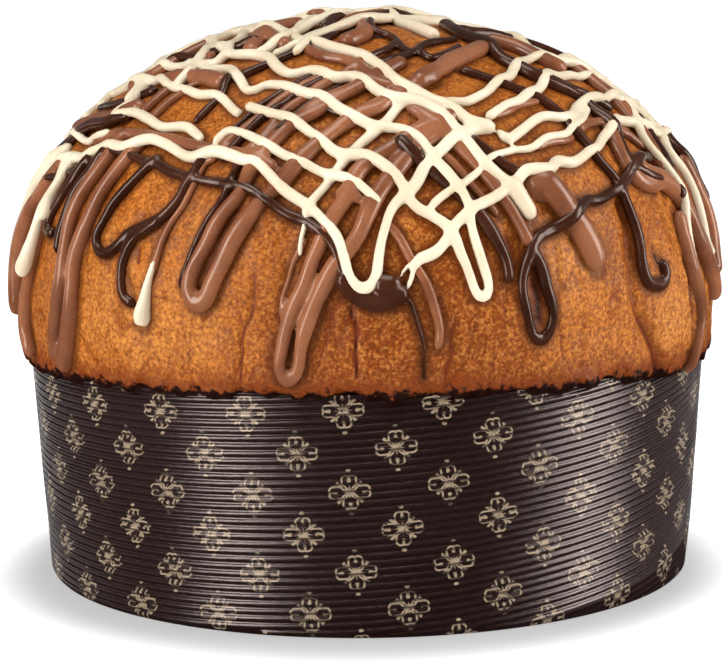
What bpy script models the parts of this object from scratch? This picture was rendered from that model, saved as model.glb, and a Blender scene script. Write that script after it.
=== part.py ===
"""Panettone with a chocolate drizzle, in its fluted paper case.

Metres, +Z up. The origin is the centre of the flat base and -Y is the front.
Two solids: the paper case, a tapered cup, and the bread, which fills it, bulges over
its rim and carries the drizzle of white, milk and dark chocolate as one body.
"""

import math
import random

import bmesh
import bpy
import numpy as np
from mathutils import Vector, noise

MM = 0.001

# Paper case
CASE_HEIGHT = 67.0 * MM
CASE_RIM_RADIUS = 103.0 * MM
CASE_BASE_RADIUS = 98.6 * MM
CASE_WALL = 1.2 * MM
CASE_EDGE_ROUND = 1.5 * MM
CASE_STEPS = 96
FIT_GAP = 0.3 * MM

# Bread
BULGE_RADIUS = 106.3 * MM
BULGE_HEIGHT = 86.5 * MM
CROWN_HEIGHT = 165.8 * MM
LIP_RADIUS = 103.6 * MM
DOME_ROUNDNESS = 2.1
BREAD_STEPS = 60
BREAD_TRIANGLES = 9600
CROWN_RINGS = 15
SIDE_RINGS = 4
LUMP_SIZE = 46.0 * MM
LUMP_HEIGHT = 1.5 * MM

# Drizzle. A route is given over the crust in millimetres, measured from the crown
# along the surface: X to the right and Y to the back, as in a plan of the flattened
# dome. Each one has its thickness first.
STRAND_RISE = 0.30
STRAND_CORNER = 1.0
BACK_TURN = math.radians(184.0)
BACK_SHIFT = 2.5

WHITE_ROUTES = [
    (3.6, [(-122, -12), (-110, -27), (-99, -38), (-94, -46), (-86, -57), (-78, -63), (-64, -76),
           (-58, -80), (-51, -91), (-42, -95), (-31, -102), (-16, -118), (-8, -127), (-5, -135),
           (-1, -139), (3, -136), (5, -123), (12, -113), (19, -103), (28, -93), (38, -86)]),
    (3.2, [(38, -86), (42, -89), (49, -80), (58, -72), (64, -58), (72, -42), (84, -22), (100, 5)]),
    (3.2, [(-19, -119), (-10, -109), (-3, -101), (5, -91), (12, -84), (22, -83), (30, -78),
           (37, -65), (44, -50), (50, -37), (66, -14), (85, 14)]),
    (3.0, [(40, -79), (48, -60), (53, -47), (57, -41), (70, -25), (90, 4)]),
    (3.4, [(16, -132), (26, -124), (33, -114), (45, -101), (50, -94), (60, -87), (67, -79),
           (74, -58), (80, -48), (89, -38), (96, -24), (112, 2)]),
    (3.2, [(-52, -14), (-60, -28), (-66, -39), (-75, -50), (-67, -60), (-59, -71), (-49, -81)]),
    (3.2, [(-44, -89), (-39, -87), (-29, -95), (-19, -104), (-9, -109), (4, -118)]),
    (3.2, [(-86, -10), (-70, -33), (-60, -47), (-54, -53), (-47, -64), (-42, -69), (-36, -80)]),
    (3.6, [(-34, -79), (-27, -85), (-18, -92), (-8, -101), (2, -105), (11, -113), (26, -122),
           (33, -132), (38, -137), (42, -134), (36, -123), (31, -115), (19, -103), (10, -95),
           (3, -93), (-8, -83), (-16, -79), (-24, -72), (-31, -71), (-35, -61), (-42, -52),
           (-48, -44), (-56, -33)]),
    (4.0, [(-72, 0), (-56, -16), (-42, -38), (-34, -50), (-29, -52), (-21, -66), (-14, -66),
           (-8, -73), (-2, -73), (6, -83), (18, -87), (28, -94), (38, -102), (45, -104), (53, -111)]),
    (4.2, [(-62, 8), (-40, -12), (-24, -32), (-19, -42), (-8, -54), (-1, -60), (6, -70), (12, -77),
           (20, -82), (29, -87), (37, -86)]),
    (4.5, [(-20, 14), (2, -4), (13, -22), (20, -34), (26, -38)]),
    (3.2, [(-50, -44), (-36, -22), (-18, 2), (2, 24), (16, 44), (34, 62)]),
    (3.2, [(-42, -47), (-39, -36), (-24, -14), (-6, 8), (14, 30), (30, 52)]),
    (3.2, [(-19, -40), (-14, -22), (2, -2), (20, 18), (40, 44)]),
    (4.4, [(-104, -30), (-101, -48), (-112, -54), (-124, -54), (-134, -46), (-139, -36)]),
    (3.4, [(90, -34), (93, -43), (103, -42), (110, -39), (118, -44), (124, -53), (129, -46), (134, -30)]),
    (6.4, [(-72, -111), (-77, -115), (-83, -121)]),
]
MILK_ROUTES = [
    (5.0, [(6, -84), (-3, -90), (-14, -101), (-32, -115), (-45, -122), (-55, -130), (-62, -127),
           (-59, -121), (-48, -114), (-36, -106), (-26, -98), (-12, -87), (-2, -77)]),
    (4.6, [(20, -92), (12, -98), (4, -107), (-2, -116), (-8, -127), (-16, -138), (-24, -150),
           (-29, -157), (-35, -154), (-32, -146), (-24, -135), (-16, -126), (-4, -112), (5, -102),
           (12, -92)]),
    (4.2, [(12, -84), (20, -91), (33, -102), (44, -110), (53, -118)]),
    (11.0, [(50, -98), (64, -97)]),
    (9.4, [(62, -101), (71, -104), (78, -108)]),
    (3.6, [(-76, -56), (-70, -64), (-58, -75), (-46, -88), (-36, -94), (-24, -103)]),
    (6.0, [(-72, -62), (-80, -68), (-92, -77), (-104, -84), (-116, -87), (-128, -90)]),
    (6.0, [(-70, -74), (-90, -85), (-105, -90), (-118, -95), (-131, -97)]),
    (7.0, [(-128, -28), (-139, -46), (-144, -60), (-143, -70)]),
    (8.0, [(36, -38), (30, -51), (22, -64), (15, -74)]),
    (5.0, [(-34, -46), (-30, -34), (-14, -10), (6, 18)]),
    (5.0, [(-10, -50), (-4, -38), (2, -22), (18, 2)]),
    (3.8, [(-18, -49), (-10, -59), (-2, -64), (2, -73), (9, -76)]),
    (4.5, [(104, -54), (96, -61), (91, -68), (84, -60)]),
    (8.0, [(98, -64), (110, -64), (124, -59), (134, -49), (141, -36)]),
    (6.0, [(112, -72), (126, -70), (137, -62), (147, -48)]),
]
DARK_ROUTES = [
    (3.6, [(-108, -36), (-96, -50), (-88, -61), (-80, -65), (-68, -80), (-61, -88), (-54, -97),
           (-40, -104), (-31, -113), (-18, -121), (-10, -131), (-6, -139), (2, -143), (13, -140)]),
    (4.2, [(-62, -86), (-76, -89), (-88, -91), (-90, -96), (-82, -101), (-66, -104), (-54, -99),
           (-44, -94)]),
    (4.2, [(-78, -103), (-86, -107), (-88, -113), (-84, -119)]),
    (6.0, [(-84, -60), (-98, -64), (-110, -62)]),
    (5.0, [(-80, -63), (-92, -69), (-102, -73), (-109, -77)]),
    (3.6, [(27, -63), (43, -66), (53, -69), (66, -76), (80, -82), (90, -90), (98, -98), (106, -98),
           (111, -91)]),
    (4.0, [(90, -54), (86, -66), (82, -80), (72, -94), (66, -100), (60, -113), (53, -122), (54, -131),
           (62, -138), (69, -135), (64, -127), (59, -121)]),
    (4.4, [(9, -98), (20, -107), (36, -116), (49, -129)]),
    (5.0, [(26, -20), (29, -34), (36, -48), (46, -53), (62, -54), (74, -50), (84, -40)]),
    (3.2, [(-36, -62), (-24, -54), (-12, -43), (-4, -30)]),
]


def clear_scene():
    for obj in list(bpy.data.objects):
        bpy.data.objects.remove(obj, do_unlink=True)


def make_collection(name, hidden=False):
    collection = bpy.data.collections.new(name)
    bpy.context.scene.collection.children.link(collection)
    collection.hide_render = hidden
    return collection


def make_material(name, colour, roughness, metallic=0.0):
    material = bpy.data.materials.new(name)
    material.use_nodes = True
    shader = material.node_tree.nodes["Principled BSDF"]
    shader.inputs["Base Color"].default_value = (*colour, 1.0)
    shader.inputs["Roughness"].default_value = roughness
    shader.inputs["Metallic"].default_value = metallic
    return material


def turned_mesh(name, profile, steps):
    """The mesh of a closed profile of (radius, height) points, turned about Z."""
    mesh = bpy.data.meshes.new(name + "_profile")
    points = [(radius, 0.0, height) for radius, height in profile]
    edges = [(i, i + 1) for i in range(len(points) - 1)]
    mesh.from_pydata(points, edges, [])
    obj = bpy.data.objects.new(name + "_profile", mesh)
    bpy.context.scene.collection.objects.link(obj)
    screw = obj.modifiers.new("Turn", "SCREW")
    screw.steps = steps
    screw.render_steps = steps
    screw.use_merge_vertices = True
    screw.merge_threshold = 0.00001
    graph = bpy.context.evaluated_depsgraph_get()
    turned = bpy.data.meshes.new_from_object(obj.evaluated_get(graph))
    bpy.data.objects.remove(obj, do_unlink=True)
    turned.name = name
    shape = bmesh.new()
    shape.from_mesh(turned)
    bmesh.ops.recalc_face_normals(shape, faces=shape.faces)
    shape.to_mesh(turned)
    shape.free()
    return turned


def add_object(name, mesh, material, collection):
    obj = bpy.data.objects.new(name, mesh)
    collection.objects.link(obj)
    mesh.materials.clear()
    mesh.materials.append(material)
    return obj


def case_radius(height):
    return CASE_BASE_RADIUS + (CASE_RIM_RADIUS - CASE_BASE_RADIUS) * height / CASE_HEIGHT


def case_profile():
    """From the inside centre of the floor, up the inner wall and down the outer one."""
    wall, edge = CASE_WALL, CASE_EDGE_ROUND
    points = [(0.0, wall), (case_radius(wall) - wall, wall), (CASE_RIM_RADIUS - wall, CASE_HEIGHT)]
    points.append((CASE_RIM_RADIUS, CASE_HEIGHT))
    for i in range(4):
        angle = math.radians(30.0 * i)
        radius = case_radius(edge) - edge * (1.0 - math.cos(angle))
        points.append((radius, edge * (1.0 - math.sin(angle))))
    points.append((0.0, 0.0))
    return points


def dome_curve(count):
    """(radius, height) of the crust from the crown to the lip over the rim."""
    upper = np.linspace(math.pi / 2, 0.0, count)
    power = 2.0 / DOME_ROUNDNESS
    radius = BULGE_RADIUS * np.cos(upper).clip(0.0) ** power
    height = BULGE_HEIGHT + (CROWN_HEIGHT - BULGE_HEIGHT) * np.sin(upper) ** power
    lower = np.linspace(0.0, -math.pi / 2, max(count // 4, 3))[1:]
    foot = CASE_HEIGHT + FIT_GAP
    radius = np.append(radius, LIP_RADIUS + (BULGE_RADIUS - LIP_RADIUS) * np.cos(lower))
    height = np.append(height, BULGE_HEIGHT + (BULGE_HEIGHT - foot) * np.sin(lower))
    return radius, height


DOME_R, DOME_Z = dome_curve(400)
DOME_S = np.append(0.0, np.cumsum(np.hypot(np.diff(DOME_R), np.diff(DOME_Z))))


def lump(point):
    """How far the crust stands out at this point of the even dome."""
    fade = min(max((point.z - CASE_HEIGHT - 3.0 * MM) / (12.0 * MM), 0.0), 1.0)
    return fade * LUMP_HEIGHT * noise.noise(point / LUMP_SIZE)


def crust_point(x, y, rise=0.0):
    """The point that lies x, y millimetres over the crust from the crown, and its normal."""
    arc = min(math.hypot(x, y) * MM, float(DOME_S[-1]))
    turn = math.atan2(x, -y)
    radius = float(np.interp(arc, DOME_S, DOME_R))
    height = float(np.interp(arc, DOME_S, DOME_Z))
    ahead = min(arc + MM, float(DOME_S[-1]))
    behind = max(ahead - 2.0 * MM, 0.0)
    fall = float(np.interp(behind, DOME_S, DOME_Z) - np.interp(ahead, DOME_S, DOME_Z))
    out = float(np.interp(ahead, DOME_S, DOME_R) - np.interp(behind, DOME_S, DOME_R))
    normal = Vector((fall * math.sin(turn), -fall * math.cos(turn), out)).normalized()
    point = Vector((radius * math.sin(turn), -radius * math.cos(turn), height))
    return point + normal * (lump(point) + rise)


def bread_mesh():
    """The loaf inside the case, the lip over the rim and the uneven dome."""
    rings = np.linspace(0.0, 1.0, CROWN_RINGS + SIDE_RINGS + 1) * DOME_S[-1]
    profile = [(float(np.interp(s, DOME_S, DOME_R)), float(np.interp(s, DOME_S, DOME_Z))) for s in rings]
    profile[0] = (0.0, CROWN_HEIGHT)
    inset = CASE_WALL + FIT_GAP
    profile.append((case_radius(CASE_HEIGHT) - inset, CASE_HEIGHT + FIT_GAP))
    profile.append((case_radius(inset) - inset, inset))
    profile.append((0.0, inset))
    mesh = turned_mesh("bread", profile, BREAD_STEPS)
    for vertex in mesh.vertices:
        if vertex.co.z > CASE_HEIGHT + 4.0 * MM:
            flat = Vector((vertex.co.x, vertex.co.y, (vertex.co.z - BULGE_HEIGHT) * 1.3))
            vertex.co += flat.normalized() * lump(vertex.co)
    return mesh


def smooth_route(points, spacing=3.0):
    """Points about 3 mm apart on a curve through the given ones."""
    ends = [2 * Vector(points[0]) - Vector(points[1])] + [Vector(p) for p in points]
    ends.append(2 * Vector(points[-1]) - Vector(points[-2]))
    route = []
    for a, b, c, d in zip(ends, ends[1:], ends[2:], ends[3:]):
        count = max(int((c - b).length / spacing), 1)
        for i in range(count):
            t = i / count
            route.append(0.5 * (2 * b + (c - a) * t + (2 * a - 5 * b + 4 * c - d) * t * t
                                + (3 * b - a - 3 * c + d) * t * t * t))
    route.append(ends[-2])
    return route


def thin_route(route, tolerance):
    """The route with the points left out that lie nearly on a straight run."""
    if len(route) < 3:
        return route
    start, end = route[0], route[-1]
    run = end - start
    length = max(run.length, 1e-6)
    offsets = [abs((p - start).x * run.y - (p - start).y * run.x) / length for p in route[1:-1]]
    far = max(range(len(offsets)), key=offsets.__getitem__) + 1
    if offsets[far - 1] < tolerance and length < 24.0:
        return [start, end]
    return thin_route(route[:far + 1], tolerance)[:-1] + thin_route(route[far:], tolerance)


def strand(name, thickness, route, collection, material):
    """One run of chocolate that lies on the crust, as a closed mesh."""
    curve = bpy.data.curves.new(name, "CURVE")
    curve.dimensions = "3D"
    curve.bevel_depth = thickness / 2 * MM
    curve.bevel_resolution = 0
    curve.use_fill_caps = True
    points = thin_route(smooth_route(route), STRAND_CORNER)
    spline = curve.splines.new("POLY")
    spline.points.add(len(points) - 1)
    for place, (x, y) in zip(spline.points, points):
        place.co = (*crust_point(x, y, STRAND_RISE * thickness / 2 * MM), 1.0)
    spline.points[0].radius = 0.8
    spline.points[-1].radius = 0.8
    guide = bpy.data.objects.new(name + "_guide", curve)
    collection.objects.link(guide)
    graph = bpy.context.evaluated_depsgraph_get()
    mesh = bpy.data.meshes.new_from_object(guide.evaluated_get(graph))
    bpy.data.objects.remove(guide, do_unlink=True)
    shape = bmesh.new()
    shape.from_mesh(mesh)
    bmesh.ops.remove_doubles(shape, verts=shape.verts, dist=0.00001)
    bmesh.ops.recalc_face_normals(shape, faces=shape.faces)
    shape.to_mesh(mesh)
    shape.free()
    obj = add_object(name, mesh, material, collection)
    obj.hide_render = True
    obj.display_type = "WIRE"
    return obj


def turned_route(route, rng):
    """The same run on the far side of the dome, a little shifted."""
    cos, sin = math.cos(BACK_TURN), math.sin(BACK_TURN)
    dx, dy = rng.uniform(-BACK_SHIFT, BACK_SHIFT), rng.uniform(-BACK_SHIFT, BACK_SHIFT)
    return [(x * cos - y * sin + dx, x * sin + y * cos + dy) for x, y in route]


def apply_modifiers(obj):
    graph = bpy.context.evaluated_depsgraph_get()
    mesh = bpy.data.meshes.new_from_object(obj.evaluated_get(graph))
    obj.modifiers.clear()
    obj.data = mesh


def biggest_body(mesh):
    """Keeps the largest joined body of the mesh, so no loose scrap or sealed hollow is left."""
    shape = bmesh.new()
    shape.from_mesh(mesh)
    bmesh.ops.triangulate(shape, faces=shape.faces)
    left = set(shape.faces)
    bodies = []
    while left:
        body, reach = [], [left.pop()]
        while reach:
            face = reach.pop()
            body.append(face)
            for edge in face.edges:
                beside = [other for other in edge.link_faces if other in left]
                if len(edge.link_faces) == 2 and beside:
                    left.discard(beside[0])
                    reach.append(beside[0])
        bodies.append(body)
    keep = set(max(bodies, key=len))
    bmesh.ops.delete(shape, geom=[f for f in shape.faces if f not in keep], context="FACES")
    shape.to_mesh(mesh)
    shape.free()


clear_scene()
parts = make_collection("panettone")
drizzle = make_collection("drizzle", hidden=True)

paper = make_material("paper_brown", (0.022, 0.009, 0.008), 0.42)
crust = make_material("crust", (0.46, 0.165, 0.04), 0.62)
white = make_material("chocolate_white", (0.80, 0.68, 0.47), 0.35)
milk = make_material("chocolate_milk", (0.17, 0.058, 0.027), 0.30)
dark = make_material("chocolate_dark", (0.022, 0.008, 0.006), 0.25)

case = add_object("paper_case", turned_mesh("paper_case", case_profile(), CASE_STEPS), paper, parts)

bread = add_object("bread", bread_mesh(), crust, parts)
rng = random.Random(11)
for label, routes, material in (("white", WHITE_ROUTES, white), ("milk", MILK_ROUTES, milk),
                                ("dark", DARK_ROUTES, dark)):
    for number, (thickness, route) in enumerate(routes):
        strand(f"{label}_front_{number}", thickness, route, drizzle, material)
        strand(f"{label}_back_{number}", thickness, turned_route(route, rng), drizzle, material)

union = bread.modifiers.new("Drizzle", "BOOLEAN")
union.operation = "UNION"
union.solver = "MANIFOLD"
union.operand_type = "COLLECTION"
union.collection = drizzle
apply_modifiers(bread)
for obj in list(drizzle.objects):
    bpy.data.objects.remove(obj, do_unlink=True)
biggest_body(bread.data)

above_rim = bread.vertex_groups.new(name="above_rim")
above_rim.add([v.index for v in bread.data.vertices if v.co.z > CASE_HEIGHT + 5.0 * MM], 1.0, "REPLACE")
thin = bread.modifiers.new("Thin", "DECIMATE")
thin.ratio = BREAD_TRIANGLES / len(bread.data.polygons)
thin.vertex_group = "above_rim"
apply_modifiers(bread)
biggest_body(bread.data)

for obj in (case, bread):
    obj.data.shade_smooth()
    obj.data.set_sharp_from_angle(angle=math.radians(35.0))
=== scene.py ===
"""The looks of the panettone: fluted paper case, baked crust and three chocolates."""

import math
import random

import bmesh
import bpy
import numpy as np
from mathutils import Matrix, Vector, noise
from mathutils.kdtree import KDTree


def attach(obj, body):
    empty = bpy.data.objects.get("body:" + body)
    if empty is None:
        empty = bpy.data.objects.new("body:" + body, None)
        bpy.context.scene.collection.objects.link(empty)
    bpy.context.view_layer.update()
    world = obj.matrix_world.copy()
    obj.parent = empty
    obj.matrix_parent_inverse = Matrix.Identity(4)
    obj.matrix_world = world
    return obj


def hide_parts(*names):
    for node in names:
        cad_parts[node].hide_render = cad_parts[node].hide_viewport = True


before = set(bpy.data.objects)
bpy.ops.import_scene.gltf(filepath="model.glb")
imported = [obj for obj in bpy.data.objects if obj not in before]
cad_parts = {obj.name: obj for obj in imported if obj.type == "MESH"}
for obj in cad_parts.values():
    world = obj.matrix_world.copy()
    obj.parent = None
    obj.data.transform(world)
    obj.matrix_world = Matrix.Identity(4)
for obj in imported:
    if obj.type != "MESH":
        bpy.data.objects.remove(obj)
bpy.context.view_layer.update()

# Camera
# It stands a little above the rim and looks slightly down on the loaf, turned by under
# a degree, as a hand-held one would be.
MM = 0.001
CAMERA_DISTANCE = 634.2 * MM
CAMERA_HEIGHT = 153.1 * MM
CAMERA_ASIDE = -0.9 * MM
CAMERA_PITCH = 0.1303
CAMERA_ROLL = -0.011
CAMERA_LENS = 101.9


def added(name, data):
    """A new object of the scene that holds this data."""
    made = bpy.data.objects.new(name, data)
    bpy.context.scene.collection.objects.link(made)
    return made


camera_data = bpy.data.cameras.new("camera")
camera_data.lens = CAMERA_LENS
camera_data.sensor_width = 36.0
camera_data.clip_start = 0.01
camera = added("camera", camera_data)
camera.location = (CAMERA_ASIDE, -CAMERA_DISTANCE, CAMERA_HEIGHT)
look_down = Matrix.Rotation(math.pi / 2 - CAMERA_PITCH, 3, "X")
camera.rotation_euler = (look_down @ Matrix.Rotation(CAMERA_ROLL, 3, "Z")).to_euler()
bpy.context.scene.camera = camera

# Paper case
# A tapered cup of dark brown corrugated paper with a pale gold print of four-petalled
# flowers. It is bent from one flat sheet with straight flutes, so these climb round the
# loaf, are cut off by the rim and the base, and meet in a V at the glued seam.
CASE_HEIGHT = 67.0 * MM
CASE_RIM_RADIUS = 103.0 * MM
CASE_BASE_RADIUS = 98.6 * MM
FLUTE_PITCH = 2.08 * MM
FLUTE_START = -72.4 * MM
FLUTE_DEPTH = 0.85 * MM
FLUTE_SHAPE = (0.0, 0.06, 0.42, 1.0, 0.42, 0.06)
FLUTE_UNEVEN = 0.5
PAPER_WAVE = 0.25 * MM
SHEET_TURN = 0.0677
CASE_COLUMNS = 300
BASE_EDGE = 1.6 * MM
FOOT_INSET = 0.3 * MM
PAPER_THICK = 0.6 * MM

# The print on the flat sheet, in millimetres. A flower is drawn with drops that widen
# along a petal: start, end, radius at the start and radius at the end.
PRINT_STEP_X = 13.271
PRINT_STEP_Y = 11.081
PRINT_START_X = -6.915
PRINT_START_Y = -3.735
FLOWER_WIDEN = 1.13
FLOWER_FLATTEN = 0.95
PETAL_FOOT = ((0.7, 0.12), (2.5, 0.66), 0.12, 1.02)
PETAL_HEAD = ((2.5, 0.66), (3.75, 0.66), 1.02, 1.04)
FLOWER_STROKES = [
    ((3.3, 0.0), (4.5, 0.0), 0.40, 0.14),
    ((0.0, 0.0), (0.9, 0.9), 0.32, 0.06),
    ((1.9, 1.75), (2.9, 2.7), 0.04, 0.19),
]
DOT_ABOVE = 6.3
DOT_FLATTEN = 0.7

taper = CASE_RIM_RADIUS - CASE_BASE_RADIUS
slant = math.hypot(CASE_HEIGHT, taper)
cone_sine = taper / slant
rim_reach = CASE_RIM_RADIUS / cone_sine


def seam_angle(azimuth):
    """The azimuth from the middle of the sheet, so that the seam is at plus and minus pi."""
    return (azimuth + SHEET_TURN / cone_sine + math.pi) % (2 * math.pi) - math.pi


def sheet_place(azimuth_from_middle, height):
    """Where a point of the wall lies on the flat sheet, with X along the flutes."""
    angle = azimuth_from_middle * cone_sine
    reach = rim_reach - (CASE_HEIGHT - height) * slant / CASE_HEIGHT
    lowered = rim_reach * math.cos(SHEET_TURN)
    return reach * math.sin(angle) - rim_reach * math.sin(SHEET_TURN), reach * math.cos(angle) - lowered


def case_radius(height):
    return CASE_BASE_RADIUS + taper * height / CASE_HEIGHT


def fluted_wall():
    """The wall with one row of points along each line of the flutes, before it is trimmed."""
    wall = bmesh.new()
    rows_per_flute = len(FLUTE_SHAPE)
    stop = rim_reach * (1 - math.cos(math.pi * cone_sine)) + 2 * FLUTE_PITCH
    count = int((stop - FLUTE_START) / FLUTE_PITCH) * rows_per_flute
    previous = None
    for row in range(count):
        offset = FLUTE_START + row * FLUTE_PITCH / rows_per_flute
        point = wall.verts.new((1.0, 0.0, offset))
        if previous:
            wall.edges.new((previous, point))
        previous = point
    seam = math.pi - SHEET_TURN / cone_sine
    to_seam = Matrix.Rotation(seam - math.pi / 2, 3, "Z")
    bmesh.ops.rotate(wall, cent=(0, 0, 0), matrix=to_seam, verts=wall.verts)
    bmesh.ops.spin(wall, geom=wall.verts[:] + wall.edges[:], cent=(0, 0, 0), axis=(0, 0, 1),
                   angle=2 * math.pi, steps=CASE_COLUMNS, use_merge=True)
    for vert in wall.verts:
        azimuth = math.atan2(vert.co.x, -vert.co.y)
        along = seam_angle(azimuth) * cone_sine
        reach = (vert.co.z + rim_reach) / math.cos(along)
        height = CASE_HEIGHT - (rim_reach - reach) * CASE_HEIGHT / slant
        row = round((vert.co.z - FLUTE_START) / FLUTE_PITCH * rows_per_flute) % rows_per_flute
        wave = noise.noise(Vector((azimuth * 3.0, height * 60.0, 4.0)))
        depth = FLUTE_DEPTH * FLUTE_SHAPE[row] * (1.0 + FLUTE_UNEVEN * wave)
        radius = reach * cone_sine - depth + PAPER_WAVE * wave
        vert.co = (radius * math.sin(azimuth), -radius * math.cos(azimuth), height)
    for plane, normal in ((CASE_HEIGHT, 1), (BASE_EDGE, -1)):
        bmesh.ops.bisect_plane(wall, geom=wall.verts[:] + wall.edges[:] + wall.faces[:],
                               dist=1e-7, plane_co=(0, 0, plane), plane_no=(0, 0, normal), clear_outer=True)
    return wall


def drawn_in(mesh, edges, radius, height):
    """One more ring of faces, from these edges to this radius and height."""
    grown = bmesh.ops.extrude_edge_only(mesh, edges=edges)["geom"]
    for vert in (item for item in grown if isinstance(item, bmesh.types.BMVert)):
        vert.co.xy *= radius / vert.co.xy.length
        vert.co.z = height
    return [item for item in grown if isinstance(item, bmesh.types.BMEdge) and item.is_boundary]


case_mesh = fluted_wall()
rim = [edge for edge in case_mesh.edges if edge.is_boundary and edge.verts[0].co.z > CASE_HEIGHT / 2]
inner_rim = drawn_in(case_mesh, rim, CASE_RIM_RADIUS - PAPER_THICK - FLUTE_DEPTH, CASE_HEIGHT)
inner_foot = drawn_in(case_mesh, inner_rim, CASE_BASE_RADIUS - PAPER_THICK - FLUTE_DEPTH, 2 * BASE_EDGE)
bmesh.ops.holes_fill(case_mesh, edges=inner_foot, sides=0)
foot = [edge for edge in case_mesh.edges if edge.is_boundary]
for step in (1, 2, 3):
    turn = math.radians(30.0 * step)
    edge_radius = case_radius(BASE_EDGE) - FOOT_INSET - BASE_EDGE * (1 - math.cos(turn))
    foot = drawn_in(case_mesh, foot, edge_radius, BASE_EDGE * (1 - math.sin(turn)))
bmesh.ops.holes_fill(case_mesh, edges=foot, sides=0)
bmesh.ops.recalc_face_normals(case_mesh, faces=case_mesh.faces)

sheet_uv = case_mesh.loops.layers.uv.new("sheet")
for face in case_mesh.faces:
    face.smooth = len(face.verts) < 6
    middle = seam_angle(math.atan2(face.calc_center_median().x, -face.calc_center_median().y))
    for loop in face.loops:
        place = loop.vert.co
        around = seam_angle(math.atan2(place.x, -place.y))
        around += 2 * math.pi * round((middle - around) / (2 * math.pi))
        across, up = sheet_place(around, place.z)
        loop[sheet_uv].uv = (across / MM, up / MM)


def new_piece(name, mesh, material):
    data = bpy.data.meshes.new(name)
    mesh.to_mesh(data)
    mesh.free()
    data.materials.append(material)
    return added(name, data)


class Nodes:
    """Short calls for the nodes of a material or of the room."""

    def __init__(self, tree):
        self.tree = tree

    def node(self, kind, **settings):
        made = self.tree.nodes.new("ShaderNode" + kind)
        for name, value in settings.items():
            setattr(made, name, value)
        return made

    def link(self, source, target):
        self.tree.links.new(source, target)

    def feed(self, target, value):
        if isinstance(value, bpy.types.NodeSocket):
            self.link(value, target)
        else:
            target.default_value = value

    def math(self, operation, a, b=0.0, clamp=False):
        made = self.node("Math", operation=operation, use_clamp=clamp)
        self.feed(made.inputs[0], a)
        self.feed(made.inputs[1], b)
        return made.outputs[0]

    def ramp(self, value, low, high, top=1.0, bottom=0.0):
        made = self.node("MapRange", interpolation_type="SMOOTHSTEP")
        self.feed(made.inputs["Value"], value)
        made.inputs["From Min"].default_value = low
        made.inputs["From Max"].default_value = high
        made.inputs["To Min"].default_value = bottom
        made.inputs["To Max"].default_value = top
        return made.outputs["Result"]

    def blend(self, amount, first, second):
        made = self.node("Mix", data_type="RGBA")
        self.feed(made.inputs["Factor"], amount)
        self.feed(made.inputs[6], first)
        self.feed(made.inputs[7], second)
        return made.outputs[2]

    def attribute(self, name):
        return self.node("Attribute", attribute_name=name).outputs["Fac"]

    def place(self, scale=(1.0, 1.0, 1.0)):
        mapping = self.node("Mapping")
        mapping.inputs["Scale"].default_value = scale
        self.link(self.node("TexCoord").outputs["Object"], mapping.inputs["Vector"])
        return mapping.outputs["Vector"]

    def noise(self, where, scale, detail=2.0, roughness=0.5, distortion=0.0):
        made = self.node("TexNoise")
        self.link(where, made.inputs["Vector"])
        made.inputs["Scale"].default_value = scale
        made.inputs["Detail"].default_value = detail
        made.inputs["Roughness"].default_value = roughness
        made.inputs["Distortion"].default_value = distortion
        return made.outputs["Fac"]

    def bump(self, height, distance, strength=1.0, under=None):
        made = self.node("Bump")
        made.inputs["Strength"].default_value = strength
        made.inputs["Distance"].default_value = distance
        self.link(height, made.inputs["Height"])
        if under is not None:
            self.link(under, made.inputs["Normal"])
        return made.outputs["Normal"]


class Finish(Nodes):
    """A Principled material, with the values of its even sockets."""

    def __init__(self, name, **values):
        self.material = bpy.data.materials.new(name)
        self.material.use_nodes = True
        super().__init__(self.material.node_tree)
        self.shader = self.tree.nodes["Principled BSDF"]
        for socket, value in values.items():
            self.shader.inputs[socket.replace("_", " ")].default_value = value

    def give(self, socket, value):
        self.link(value, self.shader.inputs[socket])


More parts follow.
